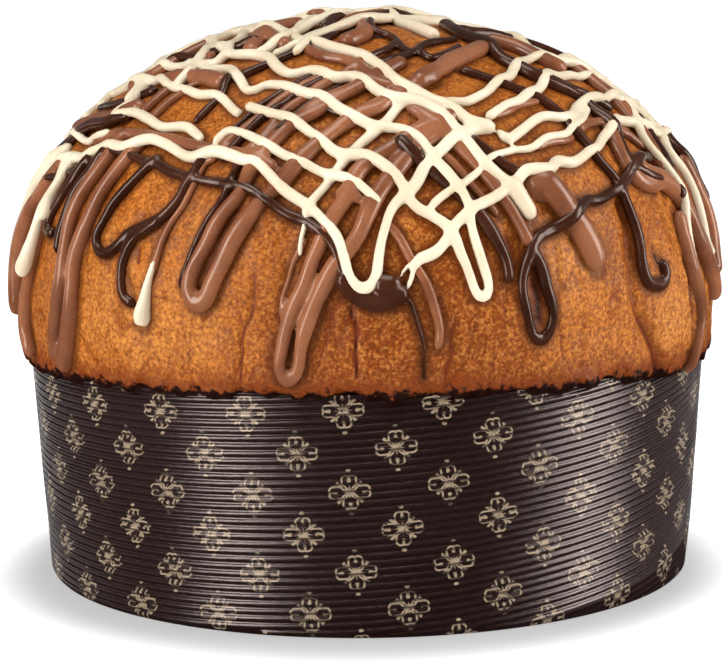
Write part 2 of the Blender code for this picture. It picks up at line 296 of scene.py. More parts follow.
def flower_print(paper, across, up):
    """How much gold ink lies on the sheet: flowers of four petals with a dot above and below."""
    column = paper.math("DIVIDE", paper.math("SUBTRACT", across, PRINT_START_X), PRINT_STEP_X)
    row = paper.math("DIVIDE", paper.math("SUBTRACT", PRINT_START_Y, up), PRINT_STEP_Y)
    cells = []
    for operation in ("ADD", "SUBTRACT"):
        cell = paper.math("MULTIPLY", paper.math(operation, column, row), 0.5)
        cells.append(paper.math("SUBTRACT", cell, paper.math("ROUND", cell)))
    step_x, step_y = PRINT_STEP_X / FLOWER_WIDEN, PRINT_STEP_Y / FLOWER_FLATTEN
    x = paper.math("ABSOLUTE", paper.math("MULTIPLY", paper.math("ADD", cells[0], cells[1]), step_x))
    y = paper.math("ABSOLUTE", paper.math("MULTIPLY", paper.math("SUBTRACT", cells[0], cells[1]), step_y))
    along = paper.math("MAXIMUM", x, y)
    aside = paper.math("MINIMUM", x, y)

    def drop_distance(start, end, start_radius, end_radius):
        """Distance to a drop that widens from its start to its round end."""
        run = (end[0] - start[0], end[1] - start[1])
        length_squared = run[0] ** 2 + run[1] ** 2
        from_start = (paper.math("SUBTRACT", along, start[0]), paper.math("SUBTRACT", aside, start[1]))
        dot = paper.math("ADD", paper.math("MULTIPLY", from_start[0], run[0] / length_squared),
                         paper.math("MULTIPLY", from_start[1], run[1] / length_squared), clamp=True)
        away = [paper.math("SUBTRACT", from_start[i], paper.math("MULTIPLY", dot, run[i])) for i in (0, 1)]
        distance = paper.math("SQRT", paper.math("ADD", paper.math("POWER", away[0], 2.0),
                                                 paper.math("POWER", away[1], 2.0)))
        radius = paper.math("ADD", paper.math("MULTIPLY", dot, end_radius - start_radius), start_radius)
        return paper.math("SUBTRACT", distance, radius)

    petal = paper.math("MINIMUM", drop_distance(*PETAL_FOOT), drop_distance(*PETAL_HEAD))
    ink = paper.ramp(paper.math("ABSOLUTE", petal), 0.15, 0.31, top=0.0, bottom=1.0)
    for stroke in FLOWER_STROKES:
        ink_here = paper.ramp(drop_distance(*stroke), -0.02, 0.15, top=0.0, bottom=1.0)
        ink = paper.math("MAXIMUM", ink, ink_here)
    from_dot = (paper.math("MULTIPLY", x, DOT_FLATTEN), paper.math("SUBTRACT", y, DOT_ABOVE))
    dot_away = paper.math("ADD", *[paper.math("POWER", apart, 2.0) for apart in from_dot])
    return paper.math("MAXIMUM", ink, paper.ramp(dot_away, 0.10, 0.24, top=0.0, bottom=1.0))


def paper_finish():
    paper = Finish("paper_brown", Roughness=0.34, Specular_IOR_Level=0.8, Specular_Tint=(1.0, 0.82, 0.77, 1))
    split = paper.node("SeparateXYZ")
    sheet = paper.node("UVMap", uv_map="sheet").outputs["UV"]
    paper.link(sheet, split.inputs[0])
    across, up = split.outputs[0], split.outputs[1]
    ink = flower_print(paper, across, up)
    fibre_place = paper.node("Mapping")
    fibre_place.inputs["Scale"].default_value = (0.25, 2.2, 1.0)
    paper.link(sheet, fibre_place.inputs["Vector"])
    fibre = paper.noise(fibre_place.outputs["Vector"], 1.6, detail=4.0, roughness=0.65)
    grain = paper.noise(paper.place(), 900.0, detail=2.0)
    # Where the grooves of the flutes lie, for the shade painted in them and their rougher paper.
    across_flutes = paper.math("SUBTRACT", up, FLUTE_START / MM)
    flute = paper.math("FRACT", paper.math("DIVIDE", across_flutes, FLUTE_PITCH / MM))
    from_groove = paper.math("ABSOLUTE", paper.math("SUBTRACT", flute, 0.5))
    in_groove = paper.ramp(from_groove, 0.08, 0.26, top=0.0, bottom=1.0)
    tone = paper.blend(paper.ramp(fibre, 0.3, 0.7), (0.0095, 0.0029, 0.0026, 1), (0.020, 0.0070, 0.0062, 1))
    worn_ink_and_groove_shade = paper.math("MULTIPLY", ink, paper.ramp(grain, 0.28, 0.46), clamp=True)
    # Painted shade: the ink is thinned in the grooves of the flutes, on top of its wear.
    worn_ink_and_groove_shade = paper.math("MULTIPLY", worn_ink_and_groove_shade, paper.ramp(in_groove, 0.2, 1.0, top=0.7, bottom=1.0))
    gold = paper.blend(fibre, (0.22, 0.155, 0.098, 1), (0.42, 0.33, 0.225, 1))
    tone = paper.blend(worn_ink_and_groove_shade, tone, gold)
    # Painted shade: the grooves of the flutes are darkened towards near black.
    tone = paper.blend(paper.math("MULTIPLY", in_groove, 0.6), tone, (0.002, 0.0006, 0.0006, 1))
    paper.give("Base Color", tone)
    sheen = paper.ramp(fibre, 0.25, 0.8, top=0.30, bottom=0.19)
    roughness = paper.math("ADD", sheen, paper.math("MULTIPLY", in_groove, 0.35))
    paper.give("Roughness", roughness)
    paper.give("Normal", paper.bump(fibre, 0.10 * MM, 0.6))
    return paper.material


case = new_piece("paper_case_fluted", case_mesh, paper_finish())
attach(case, "root")
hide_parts("paper_case")

# Crust
# The top of a leavened sweet loaf, baked in its case: an uneven dome with a fine pebbled skin, creased where
# it rose over the rim and darkened to near black along that edge.
BULGE_RADIUS = 106.3 * MM
BULGE_HEIGHT = 86.5 * MM
CROWN_HEIGHT = 165.8 * MM
LIP_RADIUS = 103.9 * MM
LIP_HEIGHT = 66.4 * MM
LIP_HANG = 1.5 * MM
INSIDE_RADII = (102.6, 101.0, 100.0, 99.6)
INSIDE_HEIGHTS = (65.6, 64.6, 62.0, 56.0)
DOME_ROUNDNESS = 2.1
DOME_STEPS = 400
LUMP_SIZE = 46.0 * MM
LUMP_HEIGHT = 1.5 * MM
CRUST_CELLS = 318
CRUST_REACH = 178.0
BREAD_FOOT = 3.0 * MM
BREAD_INSET = 4.0 * MM
BACK_CREASES = 26
BACK_SPOTS = 16


def dome_curve(count):
    """(radius, height) of the crust from the crown, over the lip and down inside the case."""
    upper = np.linspace(math.pi / 2, 0.0, count)
    power = 2.0 / DOME_ROUNDNESS
    radius = BULGE_RADIUS * np.cos(upper).clip(0.0) ** power
    height = BULGE_HEIGHT + (CROWN_HEIGHT - BULGE_HEIGHT) * np.sin(upper) ** power
    lower = np.linspace(0.0, -math.pi / 2, count // 4)[1:]
    radius = np.append(radius, LIP_RADIUS + (BULGE_RADIUS - LIP_RADIUS) * np.cos(lower))
    height = np.append(height, BULGE_HEIGHT + (BULGE_HEIGHT - LIP_HEIGHT) * np.sin(lower))
    radius = np.append(radius, np.array(INSIDE_RADII) * MM)
    height = np.append(height, np.array(INSIDE_HEIGHTS) * MM)
    return radius, height


DOME_R, DOME_Z = dome_curve(DOME_STEPS)
DOME_S = np.append(0.0, np.cumsum(np.hypot(np.diff(DOME_R), np.diff(DOME_Z)))) / MM
LIP_ARC = DOME_S[-len(INSIDE_RADII) - 1]
DOME_FALL = -np.gradient(DOME_Z, DOME_S * MM)
DOME_OUT = np.gradient(DOME_R, DOME_S * MM)

# Places over the crust are in millimetres from the crown, with the front at minus Y.
# Creases and pits of the skin: depth, width, how dark the painted shade in them is, places.
CREASES = [
    (0.7, 0.9, 0.6, [(-38, -130), (-40, -138), (-44, -142), (-49, -147)]),
    (0.6, 0.9, 0.7, [(-48, -148), (-52, -156)]),
    (0.9, 1.0, 0.9, [(-5, -144), (-4, -154), (-4, -162)]),
    (0.7, 1.6, 0.5, [(31, -145), (32, -154), (32, -163)]),
    (1.5, 2.4, 0.35, [(82, -86), (92, -98), (98, -106), (106, -108), (118, -108), (128, -108)]),
    (0.8, 1.1, 0.75, [(106, -108), (118, -108), (128, -108)]),
    (1.4, 1.7, 0.8, [(116, -74), (126, -77), (135, -79), (147, -83)]),
    (0.8, 1.2, 0.7, [(-71, -98), (-72, -103)]),
    (0.6, 1.1, 0.6, [(-76, -106), (-77, -109)]),
    (0.7, 1.2, 0.6, [(-12, -131), (-9, -136)]),
    (0.8, 1.6, 0.6, [(46, -119), (49, -126)]),
    (0.6, 1.2, 0.5, [(72, -132), (79, -139)]),
    # The last three are mostly painted shadow: inside two hairpins of the chocolate and between the legs of
    # the U.
    (0.6, 2.8, 1.0, [(57, -123), (59.5, -129), (62.5, -135)]),
    (0.4, 1.8, 0.9, [(-26, -146), (-29.5, -154)]),
    (0.3, 1.6, 0.7, [(-40, -112), (-48, -119), (-54, -124)]),
]
# Where the oven browned the skin more, and less than elsewhere: amount, width, middle.
BAKED = [
    (1.2, 24.0, (2, -152)),
    (1.2, 22.0, (30, -150)),
    (0.9, 16.0, (50, -148)),
    (0.6, 14.0, (-26, -156)),
    (0.9, 24.0, (20, -112)),
    (0.5, 14.0, (90, -100)),
    (-0.6, 24.0, (-100, -112)),
    (-0.8, 20.0, (-72, -138)),
    (-0.7, 15.0, (70, -120)),
    (-0.8, 22.0, (124, -92)),
]
# Soft swellings of the skin: height, width, middle.
SWELLS = [
    (2.6, 20.0, (128, -92)),
    (1.2, 9.0, (-34, -135)),
    (1.0, 8.0, (-42, -153)),
    (1.2, 12.0, (62, -138)),
    (1.3, 13.0, (-96, -122)),
]


def crust_frame(x, y):
    """Places, normals and turns for the places x, y millimetres over the even dome."""
    arc = np.hypot(x, y)
    turn = np.arctan2(x, -y)
    radius = np.interp(arc, DOME_S, DOME_R)
    height = np.interp(arc, DOME_S, DOME_Z)
    out = np.interp(arc, DOME_S, DOME_FALL)
    rise = np.interp(arc, DOME_S, DOME_OUT)
    size = np.hypot(out, rise)
    place = np.stack([radius * np.sin(turn), -radius * np.cos(turn), height], 1)
    normal = np.stack([out * np.sin(turn), -out * np.cos(turn), rise], 1) / size[:, None]
    return place, normal, arc


def noise_at(places, size, seed=0.0):
    shift = Vector((seed, seed * 0.7, -seed))
    return np.array([noise.noise(Vector(place) / size + shift) for place in places])


def smooth_step(value, low, high):
    t = np.clip((value - low) / (high - low), 0.0, 1.0)
    return t * t * (3 - 2 * t)


def lumps(place):
    """The loaf's slow unevenness, the same as in its solid."""
    fade = np.clip((place[:, 2] - CASE_HEIGHT - 3.0 * MM) / (12.0 * MM), 0.0, 1.0)
    return fade * LUMP_HEIGHT * noise_at(place, LUMP_SIZE)


def line_distance(x, y, points):
    """Distance from each x, y to a line through these points."""
    nearest = np.full(len(x), 1e9)
    for (ax, ay), (bx, by) in zip(points, points[1:]):
        run = np.array((bx - ax, by - ay), float)
        t = np.clip(((x - ax) * run[0] + (y - ay) * run[1]) / (run @ run), 0.0, 1.0)
        nearest = np.minimum(nearest, np.hypot(x - ax - t * run[0], y - ay - t * run[1]))
    return nearest


def back_creases(rng):
    """Creases like those in front, at random places round the sides and the back."""
    made = []
    for _ in range(BACK_CREASES):
        turn = rng.uniform(math.radians(75), math.radians(285))
        start = rng.uniform(128, 150)
        length = rng.uniform(6, 20)
        bend = rng.uniform(-0.04, 0.04)
        line = []
        for t in (0.0, 0.5, 1.0):
            arc, bent = start + length * t, turn + bend * t
            line.append((arc * math.sin(bent), -arc * math.cos(bent)))
        made.append((rng.uniform(0.5, 1.1), rng.uniform(0.9, 1.6), rng.uniform(0.5, 0.9), line))
    return made


def baked_spots(rng):
    """(amount, width, middle) of browner and paler places, in front as seen and random behind."""
    made = list(BAKED)
    for _ in range(BACK_SPOTS):
        turn = rng.uniform(math.radians(70), math.radians(290))
        arc = rng.uniform(90, 158)
        middle = (arc * math.sin(turn), -arc * math.cos(turn))
        made.append((rng.uniform(-0.9, 1.0), rng.uniform(14, 26), middle))
    return made


def crust_relief(x, y, place, arc):
    """(rise in metres, hang at the lip, shades by name) of the skin above the slow lumps."""
    side = smooth_step(arc, 95.0, 140.0)
    rise = 0.42 * noise_at(place, 15.0 * MM, 3.0) + 0.26 * noise_at(place, 6.0 * MM, 7.0)
    rise += 0.17 * noise_at(place, 2.6 * MM, 11.0)
    stretched = place * np.array((1.0, 1.0, 0.28))
    rise += side * 0.34 * noise_at(stretched, 4.4 * MM, 17.0)
    furrow = noise_at(stretched, 9.0 * MM, 23.0)
    rise -= side * 0.5 * smooth_step(-np.abs(furrow), -0.055, 0.0)
    # Painted shade in the furrows of the sides.
    dark = side * 0.35 * smooth_step(-np.abs(furrow), -0.05, 0.0)
    wander = noise_at(place, 7.0 * MM, 29.0)
    # Painted shade along each crease, as dark as its darkness.
    for depth, width, darkness, points in CREASES + back_creases(random.Random(5)):
        away = line_distance(x + 2.0 * wander, y, points)
        cut = np.exp(-(away / width) ** 2)
        rise -= depth * cut
        dark = np.maximum(dark, darkness * cut ** 2)
    for height, width, (cx, cy) in SWELLS:
        rise += height * np.exp(-((x - cx) ** 2 + (y - cy) ** 2) / width ** 2)
    edge = 1.1 * noise_at(place, 11.0 * MM, 31.0) + 1.1 * noise_at(place, 4.2 * MM, 37.0)
    near_lip = smooth_step(arc, LIP_ARC - 9.0, LIP_ARC)
    rise += near_lip * 0.7 * edge
    past_lip = arc - LIP_ARC + 1.8 * edge
    bake = 0.35 * noise_at(place, 22.0 * MM, 43.0) + 0.5 * smooth_step(arc, LIP_ARC - 16.0, LIP_ARC - 4.0)
    for amount, width, (cx, cy) in baked_spots(random.Random(9)):
        bake += amount * np.exp(-((x - cx) ** 2 + (y - cy) ** 2) / width ** 2)
    rise *= MM * smooth_step(-arc, -LIP_ARC - 2.0, -LIP_ARC + 1.0)
    return rise, near_lip * edge, {"crease_shade": dark, "browning": bake, "past_lip": past_lip}


def crust_mesh():
    """A square grid of the flattened dome, wrapped over it and closed inside the case."""
    skin = bmesh.new()
    bmesh.ops.create_grid(skin, x_segments=CRUST_CELLS, y_segments=CRUST_CELLS, size=CRUST_REACH)
    outside = [vert for vert in skin.verts if vert.co.xy.length > CRUST_REACH]
    bmesh.ops.delete(skin, geom=outside, context="VERTS")
    flat = np.array([vert.co[:2] for vert in skin.verts])
    place, normal, arc = crust_frame(flat[:, 0], flat[:, 1])
    rise, hang, shades = crust_relief(flat[:, 0], flat[:, 1], place, arc)
    place = place + normal * (lumps(place) + rise)[:, None]
    place[:, 2] -= LIP_HANG * hang
    for vert, co in zip(skin.verts, place):
        vert.co = co
    for name, values in shades.items():
        layer = skin.verts.layers.float.new(name)
        for vert, value in zip(skin.verts, values):
            vert[layer] = value
    border = [edge for edge in skin.edges if edge.is_boundary]
    border = drawn_in(skin, border, CASE_BASE_RADIUS - BREAD_INSET, BREAD_FOOT)
    bmesh.ops.holes_fill(skin, edges=border, sides=0)
    bmesh.ops.recalc_face_normals(skin, faces=skin.faces)
    for face in skin.faces:
        face.smooth = True
    return skin


def crust_finish():
    crust = Finish("crust", Roughness=0.5, Specular_IOR_Level=0.20, Specular_Tint=(1.0, 0.9, 0.78, 1),
                   Subsurface_Weight=0.04, Subsurface_Scale=0.002)
    here = crust.place()
    patches = crust.noise(here, 26.0, detail=3.0, roughness=0.6, distortion=0.4)
    streaks = crust.noise(crust.place((1.0, 1.0, 0.16)), 150.0, detail=3.0, roughness=0.6)
    mottle = crust.noise(here, 230.0, detail=3.0, roughness=0.65, distortion=0.6)
    grain = crust.noise(here, 1050.0, detail=3.0, roughness=0.65, distortion=0.5)
    pebbles = crust.node("TexVoronoi", feature="F1")
    crust.link(here, pebbles.inputs["Vector"])
    pebbles.inputs["Scale"].default_value = 900.0
    pebble = pebbles.outputs["Distance"]
    crease_shade = crust.attribute("crease_shade")
    browning = crust.attribute("browning")
    past_lip = crust.attribute("past_lip")
    blisters = crust.noise(here, 420.0, detail=4.0, roughness=0.6)
    rough_skin = crust.ramp(browning, -0.3, 0.9, top=1.0, bottom=0.72)

    def flecks(value, low, high, amount, under, colour):
        share = crust.math("MULTIPLY", crust.ramp(value, low, high, top=amount), rough_skin)
        return crust.blend(share, under, colour)

    tone = crust.blend(crust.ramp(patches, 0.34, 0.66), (0.38, 0.104, 0.008, 1), (0.50, 0.148, 0.015, 1))
    tone = crust.blend(crust.ramp(browning, 0.0, -0.8, top=0.85), tone, (0.58, 0.205, 0.033, 1))
    tone = crust.blend(crust.ramp(browning, 0.05, 1.0, top=0.85), tone, (0.25, 0.050, 0.002, 1))
    tone = flecks(streaks, 0.50, 0.72, 0.6, tone, (0.62, 0.22, 0.036, 1))
    tone = flecks(streaks, 0.46, 0.28, 0.75, tone, (0.20, 0.040, 0.003, 1))
    tone = flecks(mottle, 0.50, 0.32, 0.8, tone, (0.20, 0.040, 0.003, 1))
    tone = flecks(mottle, 0.52, 0.70, 0.38, tone, (0.60, 0.21, 0.034, 1))
    tone = flecks(pebble, 0.36, 0.66, 0.65, tone, (0.18, 0.037, 0.003, 1))
    tone = flecks(grain, 0.50, 0.36, 0.85, tone, (0.13, 0.026, 0.003, 1))
    # The palest grain specks are partly pale skin and partly painted highlights.
    tone = flecks(grain, 0.50, 0.66, 0.36, tone, (0.72, 0.32, 0.080, 1))
    # Painted shade of the creases and furrows, from dark brown to near black.
    tone = crust.blend(crust.ramp(crease_shade, 0.0, 0.55), tone, (0.15, 0.024, 0.003, 1))
    tone = crust.blend(crust.ramp(crease_shade, 0.45, 1.0), tone, (0.010, 0.0018, 0.001, 1))
    # A ragged red-brown band and then a near-black line along the lip.
    ragged = crust.math("ADD", past_lip, crust.math("MULTIPLY", crust.math("SUBTRACT", blisters, 0.5), 9.0))
    tone = crust.blend(crust.ramp(ragged, -8.5, -2.2, top=0.85), tone, (0.17, 0.028, 0.002, 1))
    tone = crust.blend(crust.ramp(ragged, -2.4, -0.8), tone, (0.012, 0.002, 0.001, 1))
    # Painted shade: the crust is darkened within about 2 mm of the threads' edges.
    beside = crust.attribute("beside_thread")
    tone = crust.blend(crust.ramp(beside, 0.0, 2.2, top=0.0, bottom=0.7), tone, (0.09, 0.018, 0.002, 1))
    crust.give("Base Color", tone)
    crust.give("Roughness", crust.ramp(mottle, 0.3, 0.7, top=0.58, bottom=0.36))
    coarse = crust.bump(mottle, 0.34 * MM, 0.7)
    fine = crust.bump(pebble, 0.18 * MM, 0.7, under=coarse)
    crust.give("Normal", crust.bump(grain, 0.12 * MM, 0.7, under=fine))
    return crust.material


crust = new_piece("crust", crust_mesh(), crust_finish())
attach(crust, "root")
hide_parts("bread")

# Drizzle
# Melted chocolate poured from a thin spout in zigzags, milk first, then dark, then white
# on top. The runs sag over each other, melt together where one colour crosses itself,
# and end in thick hairpins and drops down the sides.
RISE = 0.42
SINK = 1.05
SINK_FROM = 2.9
SWAY = 1.0
SWAY_LENGTH = 8.5
SWELL = 0.20
SWELL_LENGTH = 11.0
FULLNESS = {"milk": 1.06, "dark": 1.0, "white": 1.03}
RUN_STEP = 1.4
LIFT_MELTED = 0.35
LIFT_CROSSED = 0.62
LIFT_SMOOTHING = (1, 2, 3, 4, 3, 2, 1)
THREAD_TOP = 0.95
CROSSING_REACH = 5.5
BACK_TURN = math.radians(184.0)
BACK_SHIFT = 2.5

# A run is its width, or its first and last width, and the places it goes through over
# the crust, in millimetres.
WHITE_RUNS = [
    (3.3, [(-122, -12), (-110, -27), (-100, -38), (-95, -46), (-87, -57), (-79, -63.5), (-70, -73),
        (-62, -77), (-56, -85), (-50, -91), (-43, -92.5), (-36, -99), (-31, -101), (-25.5, -109),
        (-16, -117.5), (-10, -124), (-8, -130.5), (-5, -137), (-1, -139.3), (3, -136.5), (5, -125.5),
        (8, -117.5), (14.5, -111), (19.5, -103), (28, -93), (37, -87)]),
    (3.0, [(38.5, -87.5), (42, -89.5), (47, -82), (52.5, -74.5), (57.5, -71.5), (61, -66), (64.5, -57.5),
        (68, -49.5), (72, -43.5), (80, -26), (96, 2)]),
    (3.0, [(-19, -119), (-10, -109), (-3, -101), (5, -92.5), (11.5, -84.7), (18.5, -83.5), (24.5, -81),
        (29, -79.5), (34, -74), (37.5, -66), (42, -58), (44.5, -50), (48, -40.5), (55, -30), (66, -14),
        (85, 14)]),
    (2.9, [(35, -85), (40, -78), (44.5, -72), (49, -63.5), (51.5, -56.5), (54, -47), (58, -43), (63, -36),
        (70, -24), (90, 4)]),
    (3.2, [(15.5, -134), (17, -131), (24.5, -125.5), (31, -116), (39, -109), (45.5, -102), (47, -99),
        (54, -95), (57.5, -89.5), (63, -86), (67, -79), (71.5, -70.5), (75, -57), (79, -50), (86, -43.5),
        (94, -31), (101, -14)]),
    (3.0, [(-60, -6), (-66, -22), (-66, -37), (-70.5, -46.5), (-75, -51), (-69, -56.5), (-65, -64),
        (-60, -72), (-53, -77), (-49, -82), (-47, -86)]),
    (2.9, [(-44, -90), (-39.5, -86.5), (-34, -91), (-27, -97.5), (-19, -103.5), (-9, -109), (-2, -112),
        (4, -117.5)]),
    (3.0, [(-84, -8), (-73, -22), (-65, -34), (-60.5, -42), (-57, -51), (-52.5, -58), (-48, -64.5),
        (-43, -68), (-39.5, -74.5), (-36, -81)]),
    (3.2, [(-34, -78.5), (-28, -83.5), (-19, -90.5), (-13.5, -97), (-7, -102), (2, -105), (10, -111),
        (16, -117.5), (25.5, -121.5), (30.3, -127.5), (34.5, -133), (38.2, -136.5), (41.4, -135.4),
        (40.8, -132), (36.8, -126.5), (33, -120.5), (31, -114.5), (25, -108.5), (19.5, -103.5), (14.5, -98),
        (9, -94.5), (0.5, -93.5), (-8, -86.5), (-13, -81), (-19.5, -76.5), (-27, -70.5), (-32.5, -70.5),
        (-36, -62), (-38.5, -55.5), (-45, -50), (-48.5, -43.5), (-53, -37.5), (-57, -32), (-64, -18)]),
    (3.3, [(-64, 4), (-52, -8), (-46, -20), (-43.5, -30), (-40.5, -38), (-36, -47), (-30.5, -50),
        (-27, -54.5), (-25, -61), (-20.5, -66.5), (-15, -67), (-9, -73), (-3, -73.5), (3, -79.5),
        (7.5, -84), (15, -84.5), (23, -89.5), (28, -94), (34, -100), (38, -102.5), (45, -104.5)]),
    (5.2, [(43, -103), (47.5, -107), (52, -110.6)]),
    (3.6, [(-44, 4), (-35, -10), (-30, -22), (-26, -29.5), (-20.5, -39.5), (-17, -46), (-10.5, -52.5),
        (-3, -58), (1, -64.5), (5, -70.5), (10, -77.5), (18.5, -82.2), (23, -83.5), (29, -88),
        (37, -88)]),
    (3.2, [(-70, 2), (-60, -4), (-50, -10), (-41, -12), (-30, -8), (-20, -10), (-10, -14), (0, -14),
        (5, -13)]),
    ((3.4, 4.2), [(0, -4), (6, -12), (11, -22), (15.5, -30), (18.5, -35), (21, -39)]),
    (3.2, [(-55.5, -54), (-51, -51), (-48, -42), (-45, -28), (-40, -12), (-24, 8), (2, 30), (24, 56)]),
    (3.2, [(-43.5, -48), (-40, -40), (-37, -27), (-33, -10), (-16, 12), (6, 34), (30, 52)]),
    (3.4, [(-20.5, -39.5), (-18, -28), (-15, -14), (-6, 4), (14, 26), (34, 50)]),
    (3.0, [(-72, -43), (-68, -36), (-66, -22), (-62, -6), (-54, 12)]),
    (3.4, [(4, 4), (14, -3), (24, -4), (34, -6), (44, -12), (51, -26), (56, -30), (62, -26), (72, -22),
        (82, -26), (92, -30)]),
    (4.2, [(-95, -36), (-105, -28), (-113, -25), (-120, -24.5), (-125, -26)]),
    ((2.8, 5.2), [(-94, -44), (-100.4, -52.3), (-104.6, -57.6), (-107.9, -62.2)]),
    ((3.0, 5.4), [(-91, -50), (-101, -54), (-107.2, -56.7), (-112.4, -59.3), (-117.5, -60.5),
        (-122.5, -60.6), (-127.4, -58.8)]),
    (3.0, [(79, -36), (82, -40), (85.3, -49.1), (90.8, -53.5), (97.6, -54.7), (106.2, -58.3),
        (112.3, -63.5), (117.6, -67.6), (121.5, -68.3)]),
    (3.2, [(90, -22), (95, -31), (99.5, -37), (105.7, -36.5), (113.4, -38.5), (119.7, -43), (124.7, -49),
        (126.5, -55)]),
    ((1.8, 7.6), [(-70, -112.5), (-74, -115.6), (-79, -119.8), (-84, -124)]),
]
MILK_RUNS = [
    (5.0, [(20, -69), (13, -77), (6, -84), (-3, -90), (-14, -98), (-27, -109), (-32, -112), (-38, -116.5),
        (-46, -123), (-52, -128), (-56, -130.5), (-60, -130), (-61, -126), (-58, -122), (-51, -117),
        (-44, -112), (-38, -108), (-34, -102), (-30, -98), (-26, -94), (-12, -83), (-2, -77), (5, -70),
        (11, -63)]),
    (5.2, [(27, -84), (20, -91), (12, -97), (4, -103), (-2, -108), (-6, -115), (-10, -120), (-14, -126),
        (-20, -134.5), (-27, -143), (-32, -151), (-34.5, -156), (-32.5, -159.5), (-28, -158.5), (-25, -152),
        (-21.5, -146), (-16, -139), (-9, -132), (-3, -126), (1, -119), (4, -114), (10, -106), (16, -99)]),
    (4.2, [(12, -84), (20, -91), (33, -102), (44, -110), (53, -118)]),
    (12.0, [(49.5, -96.5), (53, -98.5), (57, -100)]),
    (8.4, [(52, -98), (60, -101), (68, -104), (74, -107), (80, -110.5)]),
    (3.6, [(-84, -52), (-75, -60), (-68, -68), (-62, -76), (-56, -81), (-49.5, -86.5), (-44, -90),
        (-36, -96), (-26, -104)]),
    ((5.0, 6.4), [(-72, -64), (-80, -69.5), (-88, -72), (-96, -76), (-103, -82), (-109, -87), (-118, -90),
        (-127, -92), (-133, -94.5)]),
    ((5.0, 6.6), [(-66, -73), (-74, -77), (-82, -80), (-91, -85), (-100, -88.5), (-107, -94), (-115, -98),
        (-125, -99), (-132, -98)]),
    ((5.0, 8.0), [(-96, -44), (-108, -40), (-119, -35), (-129, -32), (-139, -32), (-146, -33),
        (-151, -34)]),
    (5.0, [(-104, -56), (-113, -58), (-120, -60), (-128, -60), (-138, -59), (-145, -61), (-149, -68)]),
    (5.6, [(35.5, -41), (30, -51), (24.5, -60), (20, -69), (14, -77)]),
    (5.0, [(-33, -47), (-31, -36), (-28, -26), (-20, -12), (-8, 8)]),
    (4.6, [(-22, -47), (-26, -37), (-29, -28)]),
    (5.6, [(-6, -51), (-1, -45), (1, -38), (0, -30), (4, -18), (14, 0)]),
    (3.8, [(-18, -49), (-12.5, -57.5), (-5, -62), (-0.5, -69), (2, -75), (9, -78)]),
    (5.0, [(74, -58), (77, -65.5), (83, -72), (88, -71.5), (93, -67), (97, -60)]),
    (6.0, [(84, -64), (88, -68), (96, -62), (102, -58), (110, -57), (118, -58), (128, -54.5), (137, -49),
        (143, -47.5)]),
    (5.0, [(106, -64), (112, -70), (120, -72), (130, -71), (136, -70.5), (140, -73), (146, -78),
        (150, -80)]),
    (4.0, [(-67, -58), (-56, -50), (-44, -36)]),
    (3.4, [(-35, -98), (-26, -87.5), (-15, -77.5), (-8, -72), (0, -64), (6, -56)]),
    (3.4, [(-22, -91), (-13, -86), (-2, -78), (6, -71)]),
    (3.4, [(-13, -98), (-3, -90), (5, -86), (14, -78), (20, -72)]),
    (5.4, [(-92, -26), (-84, -38), (-76, -48), (-66, -54)]),
    (5.0, [(-72, -28), (-64, -30), (-54, -24), (-44, -20)]),
    (5.0, [(-60, -42), (-54, -48), (-46, -56), (-40, -64)]),
    (5.0, [(-16, -30), (-10, -22), (-2, -16), (10, -14)]),
    (5.4, [(36, -28), (44, -30), (52, -34), (60, -36)]),
    (5.0, [(60, -20), (70, -30), (78, -38), (88, -48), (96, -56)]),
    (5.4, [(104, -30), (112, -32), (122, -34), (130, -40), (136, -46)]),
]
